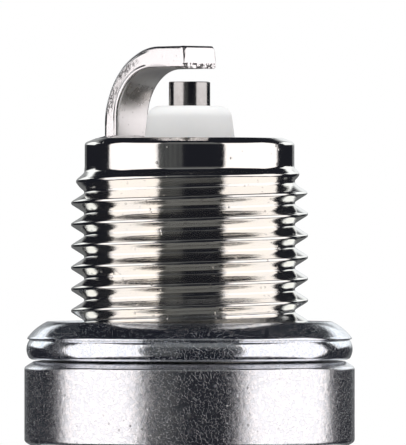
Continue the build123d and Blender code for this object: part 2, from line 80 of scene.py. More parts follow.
lens = bpy.data.cameras.new("long lens")
lens.sensor_width = SENSOR
lens.lens = SENSOR * CAMERA_DISTANCE / VIEW_HEIGHT
lens.clip_start, lens.clip_end = 0.01, 20
camera = bpy.data.objects.new("camera", lens)
bpy.context.scene.collection.objects.link(camera)
camera.location = (to_camera * CAMERA_DISTANCE + to_right * VIEW_OFFSET) * MM
camera.location.z = VIEW_Z * MM
camera.rotation_euler = (-to_camera).to_track_quat("-Z", "Y").to_euler()
bpy.context.scene.camera = camera
bpy.context.scene.view_settings.view_transform = "Standard"
print("lens, mm:", round(lens.lens))

# %% [markdown]
# ## Small node tools
#
# Shader trees are easier to read as expressions than as a list of links. These few helpers make a
# node, feed it with numbers or with other nodes' outputs, and give back its output.


# %% Node tools
def feed(tree, socket, value):
    """Sets a socket, or links it when the value is another node's output."""
    if isinstance(value, bpy.types.NodeSocket):
        tree.links.new(value, socket)
    else:
        socket.default_value = value


def math_node(tree, operation, *values):
    node = tree.nodes.new("ShaderNodeMath")
    node.operation = operation
    for socket, value in zip(node.inputs, values):
        feed(tree, socket, value)
    return node.outputs[0]


def times(tree, first, second):
    return math_node(tree, "MULTIPLY", first, second)


def ramp_between(tree, value, low, high):
    """0 below low, 1 above high, and smooth between them."""
    node = tree.nodes.new("ShaderNodeMapRange")
    node.interpolation_type = "SMOOTHSTEP"
    for name, given in (("Value", value), ("From Min", low), ("From Max", high)):
        feed(tree, node.inputs[name], given)
    return node.outputs["Result"]


def ramp_mm(tree, value, low, high):
    """The same ramp for a coordinate, with its ends in millimetres."""
    return ramp_between(tree, value, low * MM, high * MM)


def mix_color(tree, factor, first, second):
    node = tree.nodes.new("ShaderNodeMix")
    node.data_type = "RGBA"
    sockets = node.inputs[0], node.inputs[6], node.inputs[7]
    for socket, value in zip(sockets, (factor, first, second)):
        feed(tree, socket, value)
    return node.outputs[2]


def noise_node(tree, vector, scale, detail=3.0, roughness=0.55):
    node = tree.nodes.new("ShaderNodeTexNoise")
    values = {"Vector": vector, "Scale": scale, "Detail": detail, "Roughness": roughness}
    for name, value in values.items():
        feed(tree, node.inputs[name], value)
    return node.outputs["Fac"]


def axes_of(tree, vector):
    node = tree.nodes.new("ShaderNodeSeparateXYZ")
    tree.links.new(vector, node.inputs[0])
    return node.outputs


def stretch(tree, vector, scale):
    """The coordinates multiplied, one factor for each axis."""
    node = tree.nodes.new("ShaderNodeVectorMath")
    node.operation = "MULTIPLY"
    feed(tree, node.inputs[0], vector)
    node.inputs[1].default_value = scale
    return node.outputs[0]


def new_group(name, inputs, outputs):
    """An empty shader group. A default of None makes the input a vector, a number a value."""
    group = bpy.data.node_groups.new(name, "ShaderNodeTree")
    for label, default in inputs.items():
        kind = "NodeSocketVector" if default is None else "NodeSocketFloat"
        socket = group.interface.new_socket(label, in_out="INPUT", socket_type=kind)
        if default is not None:
            socket.default_value = default
    for label in outputs:
        group.interface.new_socket(label, in_out="OUTPUT", socket_type="NodeSocketFloat")
    given = group.nodes.new("NodeGroupInput").outputs
    result = group.nodes.new("NodeGroupOutput").inputs
    return group, given, result


def place_group(tree, group, **values):
    """Puts a group in a tree, fed by the names of its inputs, and gives back its outputs."""
    node = tree.nodes.new("ShaderNodeGroup")
    node.node_tree = group
    for name, value in values.items():
        feed(tree, node.inputs[name], value)
    return node.outputs


# %% [markdown]
# ## The studio
#
# Bright metal shows the room, so the room is designed as a product photographer would: a tall
# softbox on each side, a dark gap in front between them, and small white and grey cards behind.
# The gap gives the plug its black core, the softboxes the long white bands, and the cards the
# sparkles on the thread's far flanks. Lamps could make them, but a world shader can hold all of
# them as boxes of azimuth and elevation with soft edges. Each is one placed group.


# %% Softbox group
def make_softbox_group():
    """A patch of the sky between two azimuths and two elevations, in degrees."""
    angles = ("Azimuth", "Elevation", "From", "To", "Low", "High")
    inputs = {**dict.fromkeys(angles, 0.0), "Edge": 1.5}
    group, given, result = new_group("softbox", inputs, ("Mask",))
    parts = []
    for angle, low, high in (("Azimuth", "From", "To"), ("Elevation", "Low", "High")):
        for limit, sign in ((low, 1), (high, -1)):
            past = math_node(group, "SUBTRACT", given[angle], given[limit])
            past = times(group, past, sign)
            past = math_node(group, "DIVIDE", past, given["Edge"])
            parts.append(ramp_between(group, past, -1.0, 1.0))
    mask = parts[0]
    for part in parts[1:]:
        mask = times(group, mask, part)
    group.links.new(mask, result["Mask"])
    return group


softbox_group = make_softbox_group()
print("softbox sockets:", [item.name for item in softbox_group.interface.items_tree])

# %% [markdown]
# Azimuth is measured from the camera's direction, to the right, and elevation from the horizon.
# Part of the gap in front is a dim grey cloth with folds, which leaves fine upright lines on the
# metal. The white cards behind start above the horizon. So the upright walls of the cylinders,
# which see only the horizon, keep dark outlines, and the sloping flanks of the thread get light.
# What the camera itself sees is plain white, and matt things are lit by an even grey.

# %% World
SOFTBOX_WARM = (1.0, 0.965, 0.975, 1)
SOFTBOX_COOL = (0.95, 0.98, 1.0, 1)
PANELS = (
    # from, to, low, high, edge, strength, colour, folded
    (-99, -35, -34, 42, 1.2, 1.22, SOFTBOX_WARM, False),
    (39, 113, -34, 42, 1.2, 1.22, SOFTBOX_WARM, False),
    (-35, -8, -34, 42, 2.0, 0.085, SOFTBOX_COOL, True),
    (-35, 39, 16, 26, 4.0, 0.09, SOFTBOX_COOL, True),
    (-35, 39, 30, 62, 4.0, 0.16, SOFTBOX_COOL, False),
    (-165, -128, 5, 26, 1.5, 1.15, SOFTBOX_COOL, False),
    (130, 165, 5, 26, 1.5, 1.15, SOFTBOX_COOL, False),
    (-182, -158, -36, 0, 4.0, 0.15, SOFTBOX_COOL, False),
    (158, 182, -36, 0, 4.0, 0.15, SOFTBOX_COOL, False),
    (-182, -158, 2, 17, 4.0, 0.35, SOFTBOX_COOL, False),
    (158, 182, 2, 17, 4.0, 0.95, SOFTBOX_COOL, False),
)
FOLD_SCALE, FOLD_VALLEY = 0.45, 0.45  # folds per degree, roughly, and how bright their valleys are
ROOM_COLOR = (0.012, 0.013, 0.018, 1)
FILL_COLOR = (0.90, 0.90, 0.90, 1)  # what lights matt things, without bands


def make_world():
    world = bpy.data.worlds.new("studio")
    world.use_nodes = True
    tree = world.node_tree
    tree.nodes.clear()
    direction = tree.nodes.new("ShaderNodeTexCoord").outputs["Generated"]

    def along(axis):
        node = tree.nodes.new("ShaderNodeVectorMath")
        node.operation = "DOT_PRODUCT"
        tree.links.new(direction, node.inputs[0])
        node.inputs[1].default_value = axis
        return node.outputs["Value"]

    turn = math_node(tree, "ARCTAN2", along(to_right), along(to_camera))
    azimuth = times(tree, turn, 180 / math.pi)
    rise = math_node(tree, "ARCSINE", along((0, 0, 1)))
    elevation = times(tree, rise, 180 / math.pi)
    cloth = tree.nodes.new("ShaderNodeCombineXYZ")
    feed(tree, cloth.inputs[0], azimuth)
    folds = noise_node(tree, cloth.outputs[0], FOLD_SCALE, 2.0)
    folds = math_node(tree, "ADD", ramp_between(tree, folds, 0.42, 0.60), FOLD_VALLEY)
    color = ROOM_COLOR
    for start, end, low, high, edge, strength, tint, folded in PANELS:
        limits = {"From": start, "To": end, "Low": low, "High": high, "Edge": edge}
        panel = place_group(tree, softbox_group, Azimuth=azimuth, Elevation=elevation, **limits)
        mask = times(tree, panel["Mask"], folds) if folded else panel["Mask"]
        lit = (*(channel * strength for channel in tint[:3]), 1)
        color = mix_color(tree, mask, color, lit)
    path = tree.nodes.new("ShaderNodeLightPath").outputs
    color = mix_color(tree, path["Is Diffuse Ray"], color, FILL_COLOR)
    color = mix_color(tree, path["Is Camera Ray"], color, (1, 1, 1, 1))
    background = tree.nodes.new("ShaderNodeBackground")
    tree.links.new(color, background.inputs["Color"])
    output = tree.nodes.new("ShaderNodeOutputWorld")
    tree.links.new(background.outputs[0], output.inputs["Surface"])
    return world


bpy.context.scene.world = make_world()
print("panels in the room:", len(PANELS))

# %% [markdown]
# ## Floor and overhead light
#
# The plug stands on its terminal on a plain pale floor, far below the firing end. Bright metal
# would show the floor as one more white panel and lose its dark outlines, so the floor is hidden
# from reflections, and the room's lower half stands in for it. One wide light overhead gives the
# matt things a soft top and the floor a soft shadow.

# %% Floor and light
FLOOR_RADIUS = 1500
FLOOR_SIDES = 96
LIGHT_SIZE = 420
LIGHT_HEIGHT = 480
LIGHT_POWER = 1.1


def make_floor():
    radius, z = FLOOR_RADIUS * MM, cad_box[0].z
    angles = [2 * math.pi * side / FLOOR_SIDES for side in range(FLOOR_SIDES)]
    ring = [(radius * math.cos(angle), radius * math.sin(angle), z) for angle in angles]
    mesh = bpy.data.meshes.new("floor")
    mesh.from_pydata(ring, [], [list(range(FLOOR_SIDES))])
    floor = bpy.data.objects.new("floor", mesh)
    bpy.context.scene.collection.objects.link(floor)
    floor.visible_glossy = False
    material = bpy.data.materials.new("pale floor")
    material.use_nodes = True
    shader = material.node_tree.nodes["Principled BSDF"]
    shader.inputs["Base Color"].default_value = (0.90, 0.90, 0.895, 1)
    shader.inputs["Roughness"].default_value = 0.9
    shader.inputs["Specular IOR Level"].default_value = 0.0
    mesh.materials.append(material)


def make_light():
    data = bpy.data.lights.new("overhead", "AREA")
    data.shape, data.size, data.energy = "DISK", LIGHT_SIZE * MM, LIGHT_POWER
    light = bpy.data.objects.new("overhead light", data)
    light.location = (0, 0, LIGHT_HEIGHT * MM)
    light.visible_glossy = False
    light.visible_camera = False
    bpy.context.scene.collection.objects.link(light)


make_floor()
make_light()
print("floor at, mm:", round(cad_box[0].z / MM, 2))

# %% [markdown]
# ## Tools for turned shapes
#
# Nearly every piece of a plug is turned, so its shape is an outline spun about the axis. A perfect
# corner never occurs on a turned part, and it would catch no light. So each corner of an outline
# becomes a small arc, with a support point close by on both sides. The supports keep the shading of
# the flat stretch next to the arc flat.

# %% Outline tools
COLUMNS = 288  # round the axis, a multiple of 12 so that the hexagon's corners fall on columns
ARC_STEPS = 4
SUPPORT = 0.2  # how far past a corner's arc its support point lies, as a share of the arc's reach


def lerp(start, end, share):
    return start + (end - start) * share


def smooth(value):
    """Eases 0 to 1, and holds outside."""
    value = min(max(value, 0.0), 1.0)
    return value * value * (3 - 2 * value)


def round_outline(points):
    """Rounds the corners of an outline of (radius, z, corner size) points."""
    outline = []
    for index, (r, z, size) in enumerate(points):
        here = Vector((r, z))
        if size == 0 or index in (0, len(points) - 1):
            outline.append(here)
            continue
        before = Vector(points[index - 1][:2])
        after = Vector(points[index + 1][:2])
        back, on = before - here, after - here
        reach = min(size, 0.45 * back.length, 0.45 * on.length)
        start = here + back.normalized() * reach
        end = here + on.normalized() * reach
        outline.append(start + back.normalized() * reach * SUPPORT)
        for step in range(ARC_STEPS + 1):
            share = step / ARC_STEPS
            outline.append(lerp(lerp(start, here, share), lerp(here, end, share), share))
        outline.append(end + on.normalized() * reach * SUPPORT)
    return outline


def arc_outline(start, middle, end, steps):
    """Points of the arc through three (radius, z) points."""
    (ax, az), (bx, bz), (cx, cz) = start, middle, end
    spread = 2 * (ax * (bz - cz) + bx * (cz - az) + cx * (az - bz))
    a2, b2, c2 = ax**2 + az**2, bx**2 + bz**2, cx**2 + cz**2
    ox = (a2 * (bz - cz) + b2 * (cz - az) + c2 * (az - bz)) / spread
    oz = (a2 * (cx - bx) + b2 * (ax - cx) + c2 * (bx - ax)) / spread
    radius = math.hypot(ax - ox, az - oz)
    first = math.atan2(az - oz, ax - ox)
    sweep = math.remainder(math.atan2(cz - oz, cx - ox) - first, 2 * math.pi)
    return [
        Vector((ox + radius * math.cos(first + sweep * step / steps),
                oz + radius * math.sin(first + sweep * step / steps)))
        for step in range(steps + 1)
    ]


print("corner arcs of", ARC_STEPS, "steps,", COLUMNS, "columns")

# %% Mesh tools
def column_angle(column):
    return 2 * math.pi * column / COLUMNS


def turned(radius, column, z):
    angle = column_angle(column)
    return (radius * math.cos(angle), radius * math.sin(angle), z)


def bridge(faces, lower, upper):
    """Quads between two closed loops of vertex numbers."""
    count = len(lower)
    for i in range(count):
        j = (i + 1) % count
        faces.append((lower[i], lower[j], upper[j], upper[i]))


def add_piece(name, vertices, faces, body, replaced=None):
    """Makes a smooth mesh from millimetres and lets it ride on its CAD body."""
    mesh = bpy.data.meshes.new(name)
    mesh.from_pydata([tuple(value * MM for value in vertex) for vertex in vertices], [], faces)
    mesh.validate()
    mesh.polygons.foreach_set("use_smooth", [True] * len(mesh.polygons))
    piece = bpy.data.objects.new(name, mesh)
    bpy.context.scene.collection.objects.link(piece)
    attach(piece, body)
    if replaced:
        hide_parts(replaced)
    print(name, "has", len(mesh.polygons), "faces")
    return piece


# %% [markdown]
# ## The shell's thread
#
# A plug's thread is rolled: dies press the grooves in and the metal rises between them. Its crests
# are narrow, with eased edges and a faint seam where the two risen lips meet, and its roots are
# round. It could be a spun outline with a screw modifier, but the thread has to fade in from the
# smooth band at its end. So the surface is a function: how high the metal stands at an angle, a
# height and a phase of the thread. The rows of the mesh follow the helix, which keeps every crest
# one clean line.

# %% Thread shape
SHELL_SIZES = {
    # radii and heights of the CAD shell, in millimetres; the gasket's sealing face is at 0
    "thread": 6.875, "pitch": 1.25, "land": 6.078, "neck": 6.008, "end": 10.64,
    "flange": 9.575, "flange_top": -2.29, "flange_low": -7.29, "groove": 8.4,
    "hex_flat": 10.4, "hex_corner": 11.86, "hex_top": -9.59, "hex_low": -18.19,
    "crimp": 8.65, "lip": 6.10, "lip_end": -20.04, "lip_wall": 0.94,
    "chamber": 4.61, "ledge": 4.16, "ledge_top": 3.25, "ledge_low": 1.89,
    "trunk": 4.96, "wide_bore": 7.4, "wide_bore_top": -6.29,
}
THREAD_DEPTH = 0.6134 * SHELL_SIZES["pitch"]
THREAD_ROOT = SHELL_SIZES["thread"] - THREAD_DEPTH
ROOT_HALF, CREST_HALF = 0.08, 0.075  # half the flat at the root and at the crest
FLANK = SHELL_SIZES["pitch"] / 2 - ROOT_HALF - CREST_HALF
ROOT_ROUND, CREST_ROUND = 0.08, 0.08  # how soft their corners are, as shares of the depth
THREAD_TOP, THREAD_LOW = 9.10, -1.36
GROOVE_START = -1.615  # height of the groove's middle where it begins
GROOVE_START_TURN = 125 / 360
ROWS_PER_TURN = 44
SEAM_DEPTH, SEAM_HALF = 0.006, 0.02
PHASE_CROWDING = 0.055  # how far the rows move towards crest and root
FADES = ((0.62, 9.0, 0.7), (0.38, 8.05, 0.75))  # share of the depth, its start and its length
RUN_OUT, RUN_OUT_START = 0.75, 0.05
BAND_LOW, BAND_BLEND = 8.55, 0.5  # where the smooth band above the thread starts
THREAD_UNEVEN = 0.010


def thread_fade(z):
    """How much of the thread's height is there: none on the smooth band, all further down."""
    top = sum(share * smooth((start - z) / length) for share, start, length in FADES)
    return top * smooth((z - THREAD_LOW - RUN_OUT_START) / RUN_OUT)


def thread_radius(angle, z, phase):
    across = abs(phase - round(phase)) * SHELL_SIZES["pitch"]
    climb = (across - ROOT_HALF) / FLANK
    height = (climb + math.hypot(climb, ROOT_ROUND)) / 2
    short = 1 - height
    height = 1 - (short + math.hypot(short, CREST_ROUND)) / 2
    from_crest = SHELL_SIZES["pitch"] / 2 - across
    seam = SEAM_DEPTH * math.exp(-((from_crest / SEAM_HALF) ** 2))
    spot = Vector((math.cos(angle) * 2.2, math.sin(angle) * 2.2, z * 0.9))
    uneven = THREAD_UNEVEN * noise.noise(spot) * height
    base = lerp(SHELL_SIZES["neck"], THREAD_ROOT, smooth((z - THREAD_LOW) / BAND_BLEND))
    base = lerp(base, SHELL_SIZES["land"], smooth((z - BAND_LOW) / BAND_BLEND))
    return base + thread_fade(z) * (THREAD_DEPTH * height - seam + uneven)


def thread_phases():
    """Phases of one turn's rows, closer together at the crest and the root."""
    even = [row / ROWS_PER_TURN for row in range(ROWS_PER_TURN)]
    return [u - PHASE_CROWDING * math.sin(4 * math.pi * u) for u in even]


print("thread depth, mm:", round(THREAD_DEPTH, 3), "rows a turn:", ROWS_PER_TURN)

# %% Thread mesh
def thread_rows(vertices, faces, top_ring, low_ring):
    """Fills the space between two rings of vertex numbers with the helical surface."""
    pitch = SHELL_SIZES["pitch"]
    turns = range(-1, math.ceil((THREAD_TOP - GROOVE_START) / pitch) + 2)
    phases = [turn + phase for turn in turns for phase in thread_phases()]
    grid = []
    for column in range(COLUMNS):
        start = GROOVE_START + pitch * (column / COLUMNS - GROOVE_START_TURN)
        numbers = []
        for phase in phases:
            z = start + pitch * phase
            if z <= THREAD_LOW + 1e-4:
                numbers.append(low_ring[column])
            elif z >= THREAD_TOP - 1e-4:
                numbers.append(top_ring[column])
            else:
                numbers.append(len(vertices))
                radius = thread_radius(column_angle(column), z, phase)
                vertices.append(turned(radius, column, z))
        grid.append(numbers)
    for column in range(COLUMNS):
        following = (column + 1) % COLUMNS
        shift = ROWS_PER_TURN if following == 0 else 0
        for row in range(len(phases) - shift - 1):
            beside = grid[following][row + shift : row + shift + 2]
            corners = (grid[column][row], *beside, grid[column][row + 1])
            face = list(dict.fromkeys(corners))
            if len(face) > 2:
                faces.append(face)


# %% [markdown]
# ## The rest of the shell
#
# Below the thread come the neck that the gasket sits on, the flange, the thin groove that is
# squashed when the shell is pressed hot onto its insulator, the hexagon and the lip that is crimped
# over. All but the hexagon is turned. For the hexagon, each column of the mesh takes its own
# outline: the flat cuts a different radius at each angle, and the turned chamfer meets it lower
# towards the corners. That gives the curved edges that a real chamfered hexagon has.

# %% Shell outline
CORNER_EASE = 0.05


def hex_radius(column):
    """Distance to the hexagon's side at a column, with the corners turned off and eased."""
    angle = math.radians((math.degrees(column_angle(column)) % 60) - 30)
    side = SHELL_SIZES["hex_flat"] / math.cos(angle)
    corner = SHELL_SIZES["hex_corner"]
    return (side + corner - math.hypot(side - corner, CORNER_EASE)) / 2


def shell_top_outline():
    """From the ledge up the firing chamber, over the end, and down to the thread."""
    s = SHELL_SIZES
    return round_outline([
        (s["ledge"], s["ledge_low"], 0),
        (s["ledge"], s["ledge_top"] - 0.26, 0.1),
        (s["chamber"], s["ledge_top"], 0.1),
        (s["chamber"], 6.5, 0),
        (s["chamber"], s["end"], 0.10),
        (s["land"] - 0.70, s["end"], 0.10),
        (s["land"], s["end"] - 0.28, 0.16),
        (s["land"], THREAD_TOP, 0),
    ])


def shell_middle_outline():
    """From the thread's lower end over the flange to the groove above the hexagon."""
    s = SHELL_SIZES
    bulge = arc_outline(
        (s["groove"], s["flange_low"] - 0.02),
        (s["groove"] + 0.18, (s["flange_low"] + s["hex_top"]) / 2),
        (s["groove"], s["hex_top"] + 0.02),
        14,
    )
    upper = round_outline([
        (s["neck"], THREAD_LOW, 0),
        (s["neck"], s["flange_top"], 0.12),
        (s["flange"] - 0.56, s["flange_top"], 0.10),
        (s["flange"], s["flange_top"] - 0.34, 0.14),
        (s["flange"], -4.8, 0),
        (s["flange"], s["flange_low"] + 0.34, 0.14),
        (s["flange"] - 0.56, s["flange_low"], 0.10),
        (s["groove"] + 0.05, s["flange_low"], 0.04),
        (s["groove"], s["flange_low"] - 0.02, 0),
    ])
    return upper[:-1] + bulge


def shell_inner_outline():
    """From the hexagon's underside over the crimped lip and up the bore to the ledge."""
    s = SHELL_SIZES
    curl = arc_outline(
        (s["crimp"], s["hex_low"] - 0.04),
        (s["crimp"] - 0.55, s["hex_low"] - 1.30),
        (s["lip"] + 0.42, s["lip_end"]),
        16,
    )
    bore = round_outline([
        (s["lip"] + 0.36, s["lip_end"], 0),
        (s["lip"], s["lip_end"] + 0.20, 0.08),
        (s["lip"], s["lip_end"] + s["lip_wall"], 0.08),
        (s["wide_bore"], s["hex_low"] - 0.30, 0.1),
        (s["wide_bore"], s["wide_bore_top"], 0.1),
        (s["trunk"], s["wide_bore_top"] + s["wide_bore"] - s["trunk"], 0.1),
        (s["trunk"], s["ledge_low"] - 0.46, 0.1),
        (s["ledge"], s["ledge_low"], 0),
    ])
    return curl + bore


shell_outlines = (shell_top_outline(), shell_middle_outline(), shell_inner_outline())
print("outline points:", [len(outline) for outline in shell_outlines])

# %% Shell mesh
HEX_CHAMFER = math.tan(math.radians(25))
HEX_EDGE = 0.07
HEX_FACE_SHARES = (0.02, 0.5, 0.97)  # rings across the flat end face
HEX_EDGE_RINGS = (  # how far in from the side and how far down, over the chamfer and its edge
    (0.6, 0.0), (HEX_EDGE, 0.0), (0.02, 0.02), (0.0, HEX_EDGE), (0.0, 0.5),
)


def hexagon_rings():
    """Rings of (radius, z) for each column, from the groove round the hexagon to the crimp."""
    s = SHELL_SIZES
    rings = []
    for end, sign, rim in ((s["hex_top"], -1, s["groove"]), (s["hex_low"], 1, s["crimp"])):
        half = [[(lerp(rim, s["hex_flat"], share), end)] * COLUMNS for share in HEX_FACE_SHARES]
        for inset, drop in HEX_EDGE_RINGS:
            ring = []
            for column in range(COLUMNS):
                radius = hex_radius(column)
                run = max(radius - s["hex_flat"] - 0.02, 0.0)
                at = max(radius - min(inset, run * 0.8), s["hex_flat"] - inset * 0.01)
                fall = max(at - s["hex_flat"], 0.0) * HEX_CHAMFER + drop
                ring.append((at, end + sign * fall))
            half.append(ring)
        rings.append(half)
    upper, lower = rings
    return upper + lower[::-1]


def make_shell():
    vertices, faces = [], []

    def ring_of(points):
        first = len(vertices)
        for column, (radius, z) in enumerate(points):
            vertices.append(turned(radius, column, z))
        return list(range(first, first + COLUMNS))

    def spun(outline):
        return [ring_of([tuple(point)] * COLUMNS) for point in outline]

    top, middle = spun(shell_outlines[0]), spun(shell_outlines[1])
    hexagon = [ring_of(points) for points in hexagon_rings()]
    inner = spun(shell_outlines[2][:-1])
    for chain in (top, middle + hexagon + inner + [top[0]]):
        for above, below in zip(chain, chain[1:]):
            bridge(faces, below, above)
    thread_rows(vertices, faces, top[-1], middle[0])
    return add_piece("shell_body", vertices, faces, "plug", "shell")


shell = make_shell()

# %% [markdown]
# ## The gasket
#
# The seat gasket is one strip of sheet, rolled into a ring and folded over itself. Its top layer
# slopes down to a free edge, which rests in a crease on the belly of the layer below. That edge is
# what shows best: a thin bright line all the way round. Layers of real thickness could be spun one
# by one, but only the outside is ever seen. So one closed outline is spun: it keeps a single gap
# between the layers, open to the bore, and is solid elsewhere. A little waviness in the free edge
# and the belly keeps it from looking machined, as the fold is never quite even.

# %% Gasket mesh
GASKET = {
    # radii and heights in millimetres; the sealing face is at 0
    "edge": 9.40, "edge_z": -0.98, "belly": 9.455, "belly_z": -1.58, "low": -2.20,
    "foot_z": -2.11, "bore": 7.075, "sheet": 0.36, "shoulder": 8.26, "slope": (8.98, -0.47),
    "pocket": 8.6, "pocket_z": -1.36,
}
GASKET_WAVE = 0.016
GASKET_FLAT_BELOW = -2.1  # the underside lies flat on the flange
TAB_REACH, TAB_HALF_ANGLE, TAB_COUNT = 0.60, math.radians(8), 3


def gasket_outline():
    """The outside from the inner fold over the top, round the belly and back inside."""
    g = GASKET
    inner = g["bore"] + 0.03
    slope = arc_outline((g["shoulder"], 0.0), g["slope"], (g["edge"], g["edge_z"] + 0.06), 14)
    lip = round_outline([
        (g["edge"], g["edge_z"] + 0.06, 0),
        (g["edge"] + 0.015, g["edge_z"] - 0.02, 0.03),
        (g["edge"] - 0.10, g["edge_z"] - 0.055, 0.02),
        (g["edge"] - 0.11, g["edge_z"] - 0.075, 0.0),
    ])
    belly_top = (g["edge"] - 0.10, g["edge_z"] - 0.10)
    foot = (g["edge"] - 0.09, g["foot_z"])
    belly = arc_outline(belly_top, (g["belly"], g["belly_z"]), foot, 18)
    under = round_outline([
        (*foot, 0),
        (g["edge"] - 0.24, g["low"], 0.09),
        (inner, g["low"], 0.05),
        (inner, g["low"] + g["sheet"], 0.05),
        (g["pocket"], g["low"] + g["sheet"], 0.1),
        (g["pocket"], g["pocket_z"], 0.1),
        (inner + 0.4, g["pocket_z"], 0.1),
        (inner, -0.95, 0.2),
        (inner, -0.45, 0.2),
        (inner + 0.42, -0.10, 0.3),
        (g["shoulder"] - 0.08, -0.02, 0.0),
    ])
    return slope + lip[1:] + belly + under[1:]


def make_gasket():
    vertices, faces, rings = [], [], []
    for r, z in gasket_outline():
        first = len(vertices)
        outside = smooth((r - 9.0) / 0.3)
        for column in range(COLUMNS):
            angle = column_angle(column)
            spot = Vector((math.cos(angle) * 2.6, math.sin(angle) * 2.6, z * 0.8))
            wave = GASKET_WAVE * outside * noise.noise(spot)
            lift = wave if z >= GASKET_FLAT_BELOW else 0
            vertices.append(turned(r - abs(wave), column, z + lift))
        rings.append(list(range(first, first + COLUMNS)))
    for above, below in zip(rings, rings[1:] + rings[:1]):
        bridge(faces, below, above)
    return add_piece("gasket_ring", vertices, faces, "gasket", "gasket")


gasket = make_gasket()

# %% [markdown]
# Three tabs are staked inwards from the bottom layer, so that a fresh gasket can't fall off the
# thread. Each is a short curved tongue.

# %% Gasket tabs
TAB_STEPS = 10


def make_tab(index):
    vertices, faces = [], []
    middle = 2 * math.pi * index / TAB_COUNT
    inner, outer = GASKET["bore"] - TAB_REACH, GASKET["bore"] + 0.2
    low, top = GASKET["low"], GASKET["low"] + GASKET["sheet"] - 0.02
    section = (
        (outer, low), (outer, top), (inner + 0.05, top), (inner, top - 0.06),
        (inner, low + 0.06), (inner + 0.05, low),
    )
    rings = []
    for step in range(TAB_STEPS + 1):
        angle = middle + TAB_HALF_ANGLE * (2 * step / TAB_STEPS - 1)
        first = len(vertices)
        vertices.extend((r * math.cos(angle), r * math.sin(angle), z) for r, z in section)
        rings.append(list(range(first, len(vertices))))
    for ring, following in zip(rings, rings[1:]):
        bridge(faces, ring, following)
    faces.append(rings[0][::-1])
    faces.append(rings[-1])
    return add_piece(f"gasket_tab_{index + 1}", vertices, faces, "gasket")


tabs = [make_tab(index) for index in range(TAB_COUNT)]

# %% [markdown]
# ## The ground electrode
#
# This is a flat nickel strip, cut to length, welded upright to the shell's end and bent over the
# centre electrode. Drawing has rounded its long edges. The bend squeezes its inner half, which
# bulges sideways, and stretches its outer half, which narrows. The shear that cut it to length
# dragged the outer edge over, cut a clean face, and tore the last quarter of a millimetre. A swept
# curve would give one section everywhere, so the strip is built station by station instead, and
# each station has its own section.

# %% Strip sizes
STRIP_OUT, STRIP_IN = -5.908, -4.758  # faces of the upright leg, along X
STRIP_TOP, STRIP_UNDER = 15.97, 14.65
STRIP_TIP = 0.88
STRIP_WIDTH = 2.60
BEND_OUT, BEND_IN = 4.5, 2.85
STRIP_FOOT = 10.40
LEG_STATIONS, BEND_STATIONS, ARM_STATIONS = 8, 40, 12
TIP_SETBACKS = (0.32, 0.26, 0.20, 0.15, 0.105, 0.07, 0.042, 0.022, 0.008, 0.0)
ROLL_OVER, BURR_EDGE = 0.24, 0.05  # the sheared end's rounding at its outer and inner edge
TEAR_HEIGHT = 0.30
BEND_BULGE = 0.055
EDGE_ROUND = 0.20
UNEVEN = 0.012  # how far the drawn faces wander


def strip_stations():
    """Pairs of an outer and an inner (x, z) point, how bent it is there, and its tip setback."""
    stations = []
    for step in range(LEG_STATIONS):
        share = step / LEG_STATIONS
        outer = (STRIP_OUT, lerp(STRIP_FOOT, STRIP_TOP - BEND_OUT, share))
        inner = (STRIP_IN, lerp(STRIP_FOOT, STRIP_UNDER - BEND_IN, share))
        stations.append((outer, inner, 0.0, 1.0))
    for step in range(BEND_STATIONS + 1):
        angle = math.pi / 2 * step / BEND_STATIONS
        reach = (math.cos(angle), math.sin(angle))
        outer = (STRIP_OUT + BEND_OUT * (1 - reach[0]), STRIP_TOP - BEND_OUT * (1 - reach[1]))
        inner = (STRIP_IN + BEND_IN * (1 - reach[0]), STRIP_UNDER - BEND_IN * (1 - reach[1]))
        stations.append((outer, inner, math.sin(math.pi * step / BEND_STATIONS), 1.0))
    for step in range(1, ARM_STATIONS):
        share = step / ARM_STATIONS
        outer = (lerp(STRIP_OUT + BEND_OUT, STRIP_TIP - TIP_SETBACKS[0], share), STRIP_TOP)
        inner = (lerp(STRIP_IN + BEND_IN, STRIP_TIP - TIP_SETBACKS[0], share), STRIP_UNDER)
        stations.append((outer, inner, 0.0, 1.0))
    for setback in TIP_SETBACKS:
        x = STRIP_TIP - setback
        stations.append(((x, STRIP_TOP), (x, STRIP_UNDER), 0.0, setback))
    return stations


print("stations along the strip:", len(strip_stations()))

# %% Strip section
WIDTH_STEPS, THICK_STEPS, EDGE_STEPS = 14, 10, 5
SIDE_CROWDING = 0.22  # how far a side's points move towards its rounded edges
FLAT_END = 1.08  # where a side's flat stretch ends, in edge radii from the corner
MOST_NARROWING = 0.10


def strip_section():
    """Points round the section as (across, through, corner across, corner through).

    Across runs from -1 to 1 over the width and through from 0 inside the bend to 1 outside.
    The last two say how far the rounded edge pulls the point in. On a flat side the last is None,
    and the one before it tells the wide sides from the narrow ones.
    """
    points = []
    corners = ((1, 0), (1, 1), (-1, 1), (-1, 0))
    for index, (across, through) in enumerate(corners):
        following = corners[(index + 1) % 4]
        turn = -90 + 90 * index
        for step in range(EDGE_STEPS + 1):
            angle = math.radians(turn + 90 * step / EDGE_STEPS)
            pull = (across - math.cos(angle), (through * 2 - 1) - math.sin(angle))
            points.append((across, through, pull[0], pull[1]))
        steps = THICK_STEPS if following[0] == across else WIDTH_STEPS
        for step in range(1, steps):
            share = step / steps
            share -= SIDE_CROWDING * math.sin(2 * math.pi * share) / (2 * math.pi)
            along_side = (lerp(across, following[0], share), lerp(through, following[1], share))
            inset = (0.0, through * 2 - 1) if following[0] != across else (across, 0.0)
            points.append((*along_side, inset, None))
    return points


